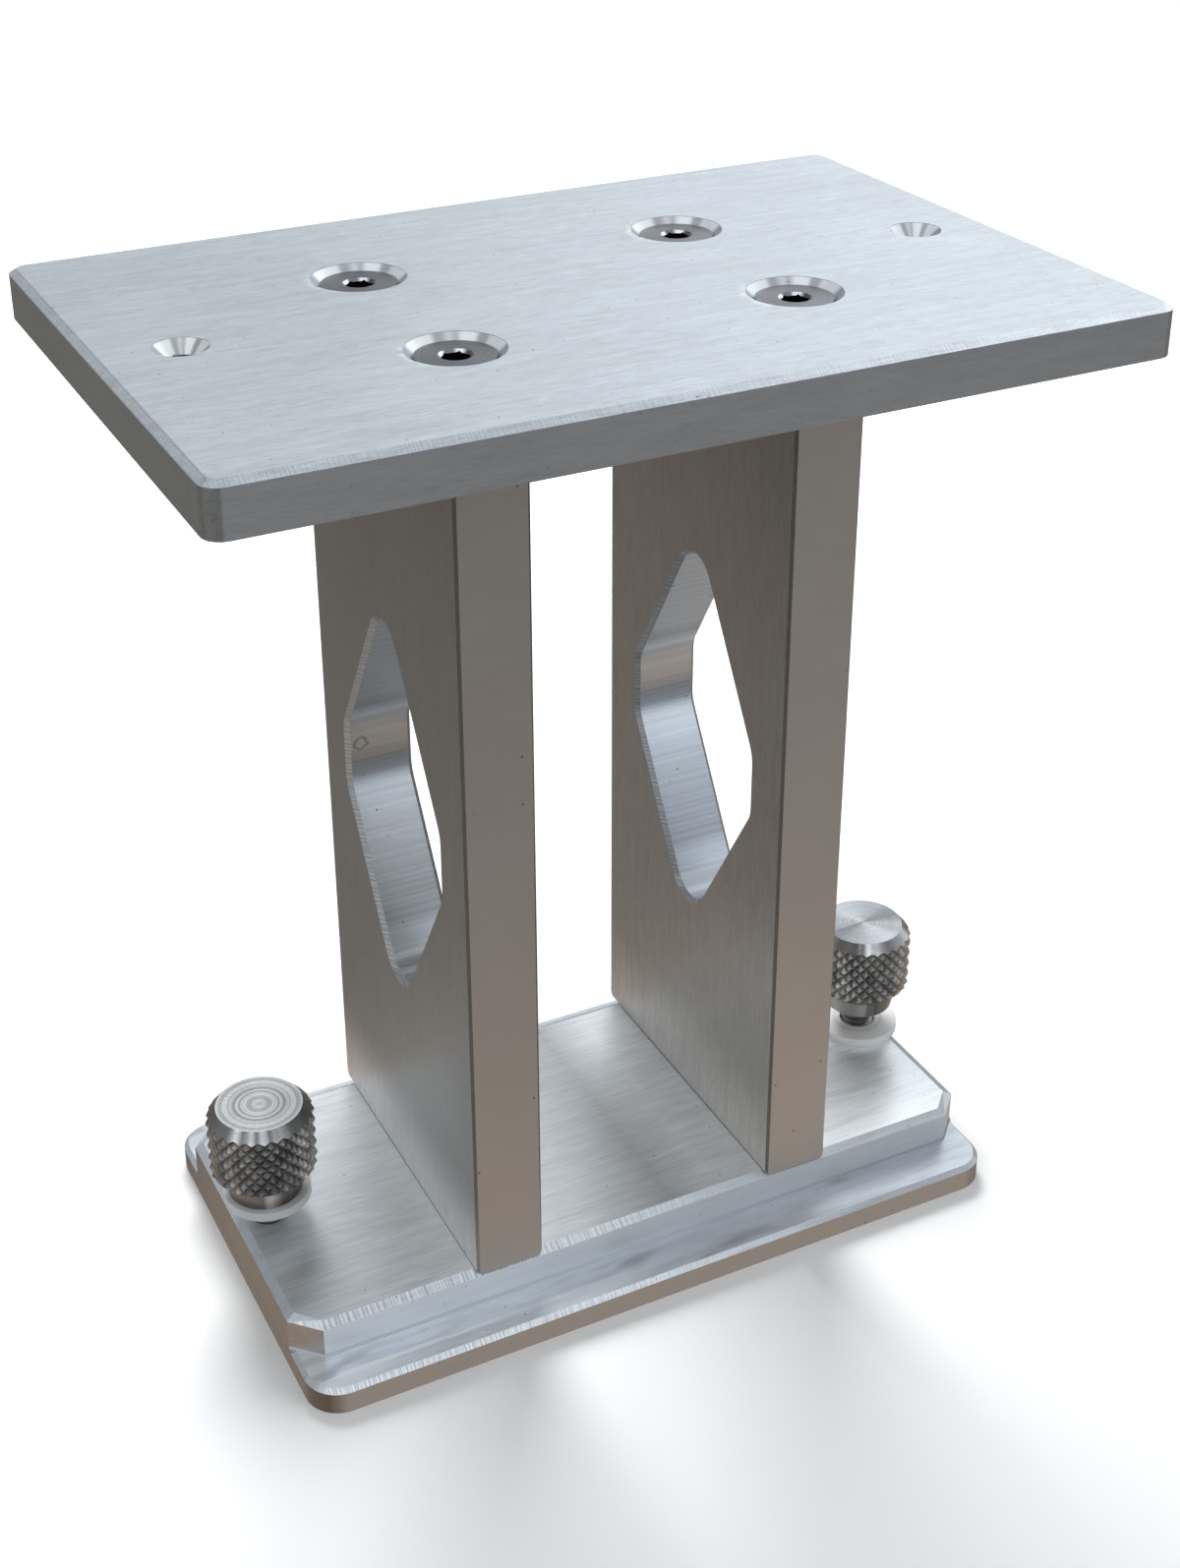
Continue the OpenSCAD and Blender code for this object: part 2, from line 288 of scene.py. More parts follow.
def buildTurnedLines(mix):
    # radius and angle about an upright axis, and the rings a lathe leaves
    group, given, result = newGroup(
        "turnedLines",
        [("Vector", "NodeSocketVector", None), ("Away", "NodeSocketFloat", thumbX),
         ("Across", "NodeSocketFloat", 0.0), ("Pitch", "NodeSocketFloat", 0.0003)],
        ["Radius", "Angle", "Rings"],
    )
    parts = split(group, given["Vector"])
    local = []
    for part, offset in zip(parts, ("Away", "Across")):
        axis = product(group, calc(group, "SIGN", part), given[offset])
        local.append(calc(group, "SUBTRACT", part, axis))
    squares = [calc(group, "POWER", absolute(group, part), 2.0) for part in local]
    radius = calc(group, "SQRT", calc(group, "ADD", squares[0], squares[1]))
    plug(group, radius, result["Radius"])
    plug(group, calc(group, "ARCTAN2", local[1], local[0]), result["Angle"])
    spread = combine(group, calc(group, "DIVIDE", radius, given["Pitch"]),
                     calc(group, "DIVIDE", parts[2], given["Pitch"]), 0.0)
    rings = noise(group, spread, 1.0, rough=mix["rough"])
    plug(group, remap(group, rings, *mix["contrast"]), result["Rings"])
    return group


cutterGrain = buildCutterGrain(grainMix)
chamferMask = buildChamferMask(leanMix)
specks = buildSpecks(speckMix)
turnedLines = buildTurnedLines(ringMix)
print("shared effects built")


def blankTree(owner, outputKind):
    owner.use_nodes = True
    owner.node_tree.nodes.clear()
    return owner.node_tree, addNode(owner.node_tree, outputKind)


def newMaterial(name):
    material = bpy.data.materials.new(name)
    tree, output = blankTree(material, "ShaderNodeOutputMaterial")
    surface = addNode(tree, "ShaderNodeBsdfPrincipled")
    tree.links.new(surface.outputs[0], output.inputs["Surface"])
    places = addNode(tree, "ShaderNodeTexCoord")
    return material, tree, surface, places.outputs["Object"], places.outputs["Normal"]


def setBump(tree, surface, height, look, bent=None):
    bump = addNode(tree, "ShaderNodeBump")
    plug(tree, bent, bump.inputs["Normal"])
    bump.inputs["Strength"].default_value = look["bump"]
    bump.inputs["Distance"].default_value = look["bumpHeight"]
    tree.links.new(height, bump.inputs["Height"])
    tree.links.new(bump.outputs[0], surface.inputs["Normal"])


def setRough(tree, surface, driver, atLow, atHigh):
    plug(tree, remap(tree, driver, 0.0, 1.0, atLow, atHigh), surface.inputs["Roughness"])


# milled plates: one way of finishing, with each piece's own values
milledShared = {
    "cloudScale": 22.0, "cloudRange": (0.35, 0.65), "speckDepth": 0.75, "smoother": 0.06, "rougher": 0.08,
    "bumpHeight": 0.00004,
}


def milledMetal(name, look, dress):
    material, tree, surface, place, normal = newMaterial(name)
    masks = useGroup(tree, chamferMask, Normal=normal)
    across, along = look["grainAcross"], look["grainAlong"]
    alongX = useGroup(tree, cutterGrain, Vector=place, Across=across, Along=along)
    turned = addNode(tree, "ShaderNodeVectorRotate", rotation_type="Y_AXIS")
    plug(tree, place, turned.inputs["Vector"])
    turned.inputs["Angle"].default_value = math.pi / 2
    alongZ = useGroup(tree, cutterGrain, Vector=turned.outputs[0], Across=across, Along=along)
    sideways = product(tree, masks["Side"], look["sideUpright"])
    grain = blend(tree, sideways, alongX["Lines"], alongZ["Lines"])

    # each face direction gets its own colour, painted light and shade: lighter tops and chamfers, darker
    # walls, sides and rounded corners
    color = look["wall"]
    for mask, label in (("Top", "top"), ("Side", "side"), ("Chamfer", "edge"), ("Slant", "chamfer")):
        color = mixColor(tree, masks[mask], color, look[label])
    calm = inverse(tree, product(tree, masks["Front"], look["frontCalm"]))
    swing = calc(tree, "SUBTRACT", grain, 0.5)
    shade = calc(tree, "MULTIPLY_ADD", swing, product(tree, calm, 2.0 * look["grainDepth"]), 1.0)
    cloud = noise(tree, place, look["cloudScale"], detail=3.0, rough=0.6)
    drift = sway(tree, cloud, *look["cloudRange"], look["cloudDepth"])
    color = scaleColor(tree, color, product(tree, shade, drift))
    color, bent = dress(tree, look, place, normal, masks, color)
    spots = useGroup(tree, specks, Vector=place, Size=look["speckSize"], Share=look["speckShare"])
    color = mixColor(tree, product(tree, spots["Mask"], look["speckDepth"]), color, look["speckColor"])
    plug(tree, color, surface.inputs["Base Color"])
    setRough(tree, surface, grain, look["rough"] - look["smoother"], look["rough"] + look["rougher"])
    surface.inputs["Metallic"].default_value = look["metallic"]
    setBump(tree, surface, grain, look, bent)
    return material


barEdge = (0.40, 0.60)  # the noise levels between which a tooth bar starts


# short bars left across a chamfer by the cutter's teeth, as a factor about 1
def toothBars(tree, coordinate, perMetre, depth, mask):
    along = combine(tree, product(tree, coordinate, perMetre), 0.0, 0.0)
    bars = sway(tree, noise(tree, along, 1.0, detail=1.0), *barEdge, depth)
    return blend(tree, mask, 1.0, bars)


plateLook = {
    **milledShared,
    "top": (0.555, 0.605, 0.645, 1), "wall": (0.37, 0.38, 0.39, 1), "side": (0.27, 0.28, 0.28, 1),
    "chamfer": (0.70, 0.75, 0.80, 1), "edge": (0.24, 0.25, 0.25, 1),
    "rough": 0.40, "metallic": 0.6, "bump": 0.35, "sideUpright": 0.0, "frontCalm": 0.5,
    "grainAcross": 2600.0, "grainAlong": 300.0, "grainDepth": 0.19, "cloudDepth": 0.04,
    "speckSize": 0.004, "speckShare": 0.05, "speckColor": (0.12, 0.11, 0.10, 1),
    "barsPerMetre": 4200.0, "barDepth": 0.12,
    "chamferRun": (-0.03, 0.06), "chamferLeft": 0.72, "chamferRight": 1.2,
    "fanReachX": 0.068, "fanReachY": 0.04, "fanTint": (0.92, 0.97, 1.0, 1),
    "fan": [(-180, 0.42), (-60, 0.34), (-14, 0.36), (-5, 0.95), (22, 0.95), (28, 0.50), (37, 0.50), (43, 1.0),
            (58, 1.0), (66, 0.58), (75, 0.80), (84, 0.50), (91, 0.50), (99, 1.0), (137, 1.0), (147, 0.45),
            (165, 0.38)],
    "brightCrescent": (0.90, 0.96, 1.0, 1), "crescentDepth": 0.6, "crescentEdge": (0.0092, 0.0076), "crescentTurn": (2.0, 2.9),
    "patchScale": 700.0, "patchRange": (0.40, 0.60),
}


# the plate's countersunk holes get a painted fan of bright and dark stripes round each axis, the painted
# reflection that turned cones show
def dressPlate(tree, look, place, normal, masks, color):
    axes = split(tree, place)
    fan = tinted(tree, turnRamp(tree, turnBehind(tree, normal), look["fan"]), look["fanTint"])
    nearX = within(tree, axes[0], look["fanReachX"])
    nearHoles = product(tree, nearX, within(tree, axes[1], look["fanReachY"]))
    rim = product(tree, masks["Slant"], inverse(tree, nearHoles))
    bars = toothBars(tree, axes[0], look["barsPerMetre"], look["barDepth"], rim)
    # the rims' chamfers are painted darker on the left and lighter on the right, as painted light
    paintedChamferLight = remap(tree, axes[0], *look["chamferRun"], look["chamferLeft"], look["chamferRight"])
    bars = product(tree, bars, blend(tree, rim, 1.0, paintedChamferLight))
    color = mixColor(tree, product(tree, masks["Slant"], nearHoles), scaleColor(tree, color, bars), fan)
    # a bright patchy crescent on the top round the left of each hole
    around = useGroup(tree, turnedLines, Vector=place, Away=holeX, Across=holeY)
    halo = remap(tree, around["Radius"], *look["crescentEdge"], smooth=True)
    leftOf = remap(tree, absolute(tree, around["Angle"]), *look["crescentTurn"], smooth=True)
    patchy = remap(tree, noise(tree, place, look["patchScale"]), *look["patchRange"])
    brightCrescent = product(tree, halo, leftOf, patchy, masks["Top"], look["crescentDepth"])
    return mixColor(tree, brightCrescent, color, look["brightCrescent"]), None


uprightLook = {
    **milledShared,
    "top": (0.5, 0.5, 0.5, 1), "wall": (0.42, 0.39, 0.36, 1), "side": (0.36, 0.35, 0.335, 1),
    "chamfer": (0.66, 0.69, 0.72, 1), "edge": (0.15, 0.14, 0.13, 1),
    "rough": 0.34, "metallic": 0.75, "bump": 0.25, "sideUpright": 1.0, "frontCalm": 0.9,
    "grainAcross": 2600.0, "grainAlong": 380.0, "grainDepth": 0.16, "cloudDepth": 0.03,
    "speckSize": 0.005, "speckShare": 0.03, "speckColor": (0.10, 0.08, 0.06, 1),
    # the window, up from the base's underside, and its walls' painted light and shade as levels from 50 mm
    # below its middle to 50 above
    "windowZ": 0.0851, "windowReach": 0.0235, "windowHalf": 0.045, "windowTip": 0.0048,
    "wallLean": (0.12, 0.08),
    "windowWall": (0.62, 0.65, 0.68, 1), "rampHeight": 0.1,
    "windowLevels": [(0.0, 0.8), (0.21, 0.95), (0.235, 0.62), (0.30, 0.70), (0.38, 0.95), (0.42, 1.25),
                     (0.435, 1.25), (0.455, 0.60), (0.475, 0.52), (0.50, 0.72), (0.53, 0.80), (0.56, 0.72),
                     (0.575, 0.95), (0.60, 0.60), (0.63, 0.72), (1.0, 0.70)],
    "warmTint": (1.0, 0.92, 0.84, 1), "warmMiddle": 0.52, "warmEdge": (0.055, 0.025),
    "linesPerMetre": 1700.0, "lineDepth": 0.07, "finePerMetre": 6290.0, "fineDepth": 0.042,
    "rim": (0.42, 0.43, 0.44, 1), "ticksPerMetre": 3200.0, "tickDepth": 0.30,
    "sideArc": 0.0202, "leanSine": 0.515,
    "footRun": (0.011, 0.030), "footPaintedLight": 2.2, "headRun": (0.050, 0.150), "headPaintedShade": 0.78,
    "ringAt": (-0.0312, 0.0198, 0.0865), "ringSize": 0.0011, "ringEdge": (0.00030, 0.00010), "ringDepth": 0.5,
    "wobbleScale": 900.0, "wobbleRange": (0.3, 0.7), "wobble": 0.0002,
    "pitSize": 0.0016, "pitShare": 0.10, "pitRun": (0.040, 0.012), "pitDepth": 0.7,
}
# the right upright's copy is painted lighter on its walls, sides and window walls, as painted light
rightUprightLitLook = {
    **uprightLook,
    "wall": (0.46, 0.428, 0.393, 1), "side": (0.47, 0.44, 0.41, 1), "footPaintedLight": 1.45,
    "windowWall": (0.74, 0.80, 0.87, 1),
}


# the walls between a window's slanted faces read as one arc
def windowArc(tree, look, normal, y, aboveMiddle, wall):
    rise = calc(tree, "DIVIDE", aboveMiddle, look["sideArc"])
    sine = calc(tree, "MINIMUM", calc(tree, "MAXIMUM", rise, -look["leanSine"]), look["leanSine"])
    cosine = calc(tree, "SQRT", inverse(tree, product(tree, sine, sine)))
    inward = product(tree, calc(tree, "SIGN", y), -1.0)
    arc = combine(tree, 0.0, product(tree, cosine, inward), product(tree, sine, -1.0))
    awayFromTip = calc(tree, "GREATER_THAN", absolute(tree, y), look["windowTip"])
    bent = addNode(tree, "ShaderNodeMix", data_type="VECTOR")
    for index, value in ((0, product(tree, wall, awayFromTip)), (4, normal), (5, arc)):
        plug(tree, value, bent.inputs[index])
    return bent.outputs[1]


# a small stain ring on one wall of the left window
def stainRing(tree, look, place):
    gap = addNode(tree, "ShaderNodeVectorMath", operation="DISTANCE")
    plug(tree, place, gap.inputs[0])
    gap.inputs[1].default_value = look["ringAt"]
    cloud = noise(tree, place, look["wobbleScale"])
    wobble = remap(tree, cloud, *look["wobbleRange"], -look["wobble"], look["wobble"])
    uneven = calc(tree, "ADD", gap.outputs["Value"], wobble)
    ring = remap(tree, distanceTo(tree, uneven, look["ringSize"]), *look["ringEdge"])
    return product(tree, ring, look["ringDepth"])


# an upright: cutter lines across its window's walls, ticks on the window's rim, painted reflections on the
# window's walls, and sides painted paler at the foot and darker higher up as painted light and shade
def dressUpright(tree, look, place, normal, masks, color):
    axes = split(tree, place)
    aboveMiddle = calc(tree, "SUBTRACT", axes[2], look["windowZ"])
    awayFromX = remap(tree, absolute(tree, split(tree, normal)[0]), *look["wallLean"])
    inside = within(tree, axes[1], look["windowReach"])
    wall = product(tree, awayFromX, inside, within(tree, aboveMiddle, look["windowHalf"]))
    rim = product(tree, masks["Chamfer"], inside, inverse(tree, awayFromX))
    # the window's walls get painted reflections and shade: levels by height and a warm painted band about the
    # middle
    overZ = calc(tree, "MULTIPLY_ADD", aboveMiddle, 1.0 / look["rampHeight"], 0.5)
    walls = tinted(tree, look["windowWall"], levelRamp(tree, overZ, look["windowLevels"]))
    warm = remap(tree, distanceTo(tree, overZ, look["warmMiddle"]), *look["warmEdge"])
    walls = mixColor(tree, warm, walls, tinted(tree, walls, look["warmTint"]))
    color = mixColor(tree, wall, color, walls)
    color = mixColor(tree, rim, color, look["rim"])
    lines = toothBars(tree, axes[2], look["linesPerMetre"], look["lineDepth"], wall)
    fine = toothBars(tree, axes[2], look["finePerMetre"], look["fineDepth"], wall)
    ticks = toothBars(tree, axes[2], look["ticksPerMetre"], look["tickDepth"], rim)
    # its sides are painted lighter at the foot and darker higher up, as painted light and shade
    foot = remap(tree, axes[2], *look["footRun"], look["footPaintedLight"], 1.0, smooth=True)
    head = remap(tree, axes[2], *look["headRun"], 1.0, look["headPaintedShade"])
    sideShading = blend(tree, masks["Side"], 1.0, product(tree, foot, head))
    color = scaleColor(tree, color, product(tree, lines, fine, ticks, sideShading))
    color = mixColor(tree, stainRing(tree, look, place), color, look["speckColor"])
    pits = useGroup(tree, specks, Vector=place, Size=look["pitSize"], Share=look["pitShare"])
    nearFoot = remap(tree, axes[2], *look["pitRun"])
    pitted = product(tree, pits["Mask"], nearFoot, masks["Front"], look["pitDepth"])
    color = mixColor(tree, pitted, color, look["speckColor"])
    return color, windowArc(tree, look, normal, axes[1], aboveMiddle, wall)


baseLook = {
    **milledShared,
    "top": (0.72, 0.76, 0.79, 1), "wall": (0.66, 0.70, 0.73, 1), "side": (0.155, 0.128, 0.101, 1),
    "chamfer": (0.78, 0.84, 0.90, 1), "edge": (0.34, 0.31, 0.28, 1),
    "rough": 0.34, "metallic": 0.65, "bump": 0.35, "sideUpright": 0.0, "frontCalm": 0.6,
    "grainAcross": 3200.0, "grainAlong": 170.0, "grainDepth": 0.16, "cloudDepth": 0.04,
    "speckSize": 0.004, "speckShare": 0.04, "speckColor": (0.12, 0.11, 0.10, 1),
    # painted light and shade: levels from the base's left end, 0, to its right end, 1
    "length": 0.1302,
    "topLevels": [(0.0, 1.05), (0.22, 1.25), (0.42, 0.95), (0.53, 0.68), (0.60, 1.15), (0.78, 1.20),
                  (0.90, 1.28), (0.98, 1.0)],
    "wallLevels": [(0.0, 1.18), (0.25, 1.15), (0.5, 1.02), (0.75, 0.98), (1.0, 1.02)],
    "flangeLevels": [(0.0, 1.38), (0.2, 1.30), (0.4, 1.12), (0.6, 1.02), (0.8, 0.90), (1.0, 0.86)],
    # heights are in metres above the base's underside
    "flangeWallTop": 0.0042, "flangeTop": 0.0052, "flangeWall": (0.43, 0.405, 0.38, 1),
    "wallLean": (0.20, 0.10), "endTurn": (0.1, 0.6), "rightTurn": (0.1, 0.5),
    "litRightWall": (0.50, 0.54, 0.58, 1),
    "flange": (0.64, 0.69, 0.74, 1), "scuff": (0.55, 0.59, 0.63, 1), "scuffAlong": 60.0, "scuffAcross": 420.0,
    "scuffRange": (0.45, 0.60), "smear": (0.40, 0.425, 0.45, 1), "smearAlong": 70.0, "smearAcross": 260.0,
    "smearLayer": 3.7, "smearRange": (0.62, 0.76),
    "band": (0.78, 0.86, 0.94, 1), "bandY": -0.0349, "bandEdge": (0.0006, 0.0002), "bandRun": (0.0, -0.025),
    "bandPatches": (0.38, 0.55),
    "footLine": (0.50, 0.54, 0.58, 1), "padFootZ": 0.0049, "padFootHalf": 0.00020, "footLean": (0.1, 0.3),
    "padBars": 1900.0, "flangeBars": 2900.0, "barDepth": 0.28, "barRun": (0.015, -0.025), "leastBars": 0.10,
    "chamferShadeRun": (-0.01, 0.04), "chamferShadeRight": 0.62, "endChamfer": 0.72,
}


# the flange's top: grey scuffs, darker smears and one bright band
def scuffedFlange(tree, look, axes):
    streaks = combine(tree, product(tree, axes[0], look["scuffAlong"]),
                      product(tree, axes[1], look["scuffAcross"]), 0.0)
    scuffs = remap(tree, noise(tree, streaks, 1.0, detail=4.0, rough=0.7), *look["scuffRange"])
    color = mixColor(tree, scuffs, look["flange"], look["scuff"])
    broad = combine(tree, product(tree, axes[0], look["smearAlong"]),
                    product(tree, axes[1], look["smearAcross"]), look["smearLayer"])
    smears = remap(tree, noise(tree, broad, 1.0, detail=1.0), *look["smearRange"], smooth=True)
    color = mixColor(tree, smears, color, look["smear"])
    near = remap(tree, distanceTo(tree, axes[1], look["bandY"]), *look["bandEdge"])
    patchy = remap(tree, noise(tree, streaks, 2.0, detail=3.0), *look["bandPatches"])
    bright = product(tree, near, remap(tree, axes[0], *look["bandRun"]), patchy)
    return mixColor(tree, bright, color, look["band"])


# the base: brown end walls as painted shade, lighter right walls as painted reflection, painted light and
# shade along its length, a line at the pad's foot and barred chamfers
def dressBase(tree, look, place, normal, masks, color):
    axes = split(tree, place)
    facing = split(tree, normal)
    low = calc(tree, "LESS_THAN", axes[2], look["flangeWallTop"])
    onPad = inverse(tree, low)
    upright = remap(tree, absolute(tree, facing[2]), *look["wallLean"])
    endward = remap(tree, absolute(tree, facing[0]), *look["endTurn"])
    # the low end walls are painted dark brown, as painted shade
    lowWall = mixColor(tree, endward, look["flangeWall"], look["side"])
    color = mixColor(tree, product(tree, low, upright), color, lowWall)
    # the pad's right-facing walls are painted lighter, as a painted reflection
    litRightWall = product(tree, remap(tree, facing[0], *look["rightTurn"]), onPad, upright)
    color = mixColor(tree, litRightWall, color, look["litRightWall"])
    # the pad's top, walls and flange are painted lighter and darker along the base's length, as painted light
    # and shade
    along = calc(tree, "MULTIPLY_ADD", axes[0], 1.0 / look["length"], 0.5)
    topLevel = tinted(tree, color, levelRamp(tree, along, look["topLevels"]))
    color = mixColor(tree, masks["Top"], color, topLevel)
    wallLevel = tinted(tree, color, levelRamp(tree, along, look["wallLevels"]))
    color = mixColor(tree, product(tree, onPad, upright), color, wallLevel)

    onFlange = calc(tree, "LESS_THAN", axes[2], look["flangeTop"])
    flange = tinted(tree, scuffedFlange(tree, look, axes), levelRamp(tree, along, look["flangeLevels"]))
    color = mixColor(tree, product(tree, onFlange, masks["Top"]), color, flange)
    footZ = distanceTo(tree, axes[2], look["padFootZ"])
    leaning = remap(tree, absolute(tree, facing[1]), *look["footLean"])
    footLine = product(tree, calc(tree, "LESS_THAN", footZ, look["padFootHalf"]), leaning)
    color = mixColor(tree, footLine, color, look["footLine"])

    endOn = calc(tree, "GREATER_THAN", absolute(tree, facing[0]), absolute(tree, facing[1]))
    fading = remap(tree, axes[0], *look["barRun"], look["leastBars"], 1.0)
    barred = product(tree, masks["Slant"], inverse(tree, endOn), inverse(tree, footLine), fading)
    perMetre = blend(tree, onFlange, look["padBars"], look["flangeBars"])
    bars = toothBars(tree, axes[0], perMetre, look["barDepth"], barred)
    # the chamfers are painted darker towards the right end, and the end chamfers are painted darker too, as
    # painted shade
    chamferShade = blend(tree, masks["Slant"], 1.0, remap(tree, axes[0], *look["chamferShadeRun"], 1.0, look["chamferShadeRight"]))
    endChamferShade = blend(tree, product(tree, endOn, masks["Slant"]), 1.0, look["endChamfer"])
    return scaleColor(tree, color, product(tree, bars, chamferShade, endChamferShade)), None


plateMetal = milledMetal("plateMetal", plateLook, dressPlate)
uprightMetal = milledMetal("uprightMetal", uprightLook, dressUpright)
rightUprightLitMetal = milledMetal("rightUprightLitMetal", rightUprightLitLook, dressUpright)
baseMetal = milledMetal("baseMetal", baseLook, dressBase)
print("milled metals made")


def radialTangent(tree, surface, amount):
    # the lathe's rings stretch every highlight into a fan, a quarter turn from the tangent
    around = addNode(tree, "ShaderNodeTangent", direction_type="RADIAL", axis="Z")
    tree.links.new(around.outputs[0], surface.inputs["Tangent"])
    surface.inputs["Anisotropic Rotation"].default_value = 0.25
    plug(tree, amount, surface.inputs["Anisotropic"])


screwLook = {
    "color": (0.18, 0.19, 0.20, 1), "dark": (0.135, 0.142, 0.15, 1), "rough": 0.30, "roughSwing": 0.05,
    "metallic": 0.85, "stretch": 0.5, "bump": 0.3, "bumpHeight": 0.00003, "pitch": 0.00035,
    "socket": (0.020, 0.016, 0.013, 1), "socketRadius": 0.00245, "socketLean": 0.5,
    "glint": (0.95, 0.97, 1.0, 1), "mouthWidth": 0.0004, "mouthLean": 0.95,
    "glints": [(-180, 0.0), (-150, 0.1), (20, 0.0), (40, 1.0), (62, 1.0), (75, 0.1), (105, 0.1), (118, 1.0),
               (146, 1.0), (165, 0.0)],
}


def turnedSteel(name, look):
    material, tree, surface, place, normal = newMaterial(name)
    turned = useGroup(tree, turnedLines, Vector=place, Away=holeX, Across=holeY, Pitch=look["pitch"])
    color = mixColor(tree, turned["Rings"], look["dark"], look["color"])
    level = absolute(tree, split(tree, normal)[2])
    # the socket's walls are painted near black as painted shade inside the hole, and its mouth gets painted
    # glints by direction
    inner = calc(tree, "LESS_THAN", turned["Radius"], look["socketRadius"])
    socket = product(tree, inner, calc(tree, "LESS_THAN", level, look["socketLean"]))
    color = mixColor(tree, socket, color, look["socket"])
    outer = look["socketRadius"] + look["mouthWidth"]
    mouth = product(tree, remap(tree, turned["Radius"], outer, look["socketRadius"]),
                    calc(tree, "GREATER_THAN", level, look["socketLean"]),
                    calc(tree, "LESS_THAN", level, look["mouthLean"]))
    glints = split(tree, turnRamp(tree, turnBehind(tree, normal), look["glints"]))[0]
    color = mixColor(tree, mouth, color, mixColor(tree, glints, look["dark"], look["glint"]))
    plug(tree, color, surface.inputs["Base Color"])
    rough, swing = look["rough"], look["roughSwing"]
    setRough(tree, surface, turned["Rings"], rough + swing, rough - swing)
    surface.inputs["Metallic"].default_value = look["metallic"]
    radialTangent(tree, surface, look["stretch"])
    setBump(tree, surface, turned["Rings"], look)
    return material


knobLook = {
    "rough": 0.20, "topRough": 0.28, "roughSwing": 0.06, "metallic": 0.85, "topMetal": 0.85, "stretch": 0.8,
    "bump": 0.35, "bumpHeight": 0.00004, "pitch": 0.0004, "edgeBlur": 0.0002,
    # the knurl, from its grooves out to its tips, with painted shade in the grooves and painted glints that
    # change round the knob
    "tip": (0.36, 0.345, 0.33, 1), "groove": (0.12, 0.112, 0.105, 1), "knurlRadius": 0.0092,
    "knurlDepth": 0.00055, "tipWidth": 0.0001, "cellScale": 420.0, "cellRange": (0.38, 0.62),
    "cellLevels": (0.70, 1.35),
    "knurl": [(-180, 0.9), (-150, 1.5), (-120, 1.0), (-95, 0.75), (-70, 1.2), (-50, 1.0), (60, 1.2),
              (150, 1.0)],
    # the chamfer round the top, and the collar below the knurl, painted lighter and darker round the knob as
    # painted highlights
    "chamferZ": 0.0321, "coneLean": (0.60, 0.68), "chamferTint": (0.94, 0.97, 1.0, 1),
    "chamfer": [(-180, 0.20), (-150, 0.34), (-140, 0.38), (-131, 0.28), (-122, 0.28), (-115, 0.95),
                (-107, 0.95), (-99, 0.36), (-80, 0.34), (-62, 0.42), (-45, 0.62), (-30, 0.30), (60, 0.5),
                (120, 0.25), (160, 0.6)],
    "collarZ": 0.0203, "collarTint": (1.0, 0.94, 0.87, 1),
    "collar": [(-180, 0.30), (-165, 0.38), (-150, 0.32), (-125, 0.30), (-113, 0.34), (-108, 0.15),
               (-40, 0.13), (40, 0.4), (120, 0.3)],
    # the turned top, with a painted fan of highlights round its middle
    "top": (0.46, 0.48, 0.50, 1), "topLean": (0.9, 0.98), "ringDepth": 0.25,
    "spokes": 120.0, "spokeRange": (0.35, 0.65), "spokeDepth": 0.05,
    "topFan": [(-180, 0.62), (-165, 0.66), (-145, 0.95), (-106, 1.15), (-70, 1.05), (-48, 0.75), (-30, 0.95),
               (-6, 0.60), (12, 0.70), (32, 1.05), (74, 1.15), (110, 1.05), (140, 0.80), (155, 0.95)],
}
roughKnobLook = {
    **knobLook,
    "top": (0.89, 0.91, 0.92, 1), "topRough": 0.42, "topMetal": 0.5, "ringDepth": 0.60, "pitch": 0.0005,
    "spokeDepth": 0.12,
    "knurl": [(-180, 0.7), (-160, 0.8), (-145, 1.25), (-128, 0.95), (-112, 0.70), (-90, 0.60), (-70, 0.85),
              (-55, 1.5), (-35, 1.3), (60, 1.0), (150, 0.8)],
    "chamfer": [(-180, 0.22), (-165, 0.32), (-150, 0.34), (-144, 0.62), (-138, 0.62), (-130, 0.28),
                (-125, 0.66), (-118, 0.66), (-112, 0.32), (-108, 0.62), (-100, 0.62), (-97, 0.32),
                (-92, 0.42), (-88, 0.30), (-82, 0.52), (-76, 0.50), (-64, 0.32), (-40, 0.24), (60, 0.6),
                (120, 0.2)],
    "collar": [(-180, 0.16), (-150, 0.20), (-112, 0.22), (-105, 0.58), (-99, 0.62), (-92, 0.40), (-82, 0.16),
               (-40, 0.12), (60, 0.4), (120, 0.2)],
    "topFan": [(-180, 0.95), (-106, 1.08), (-60, 1.0), (-6, 0.88), (74, 1.08), (130, 1.0)],
}


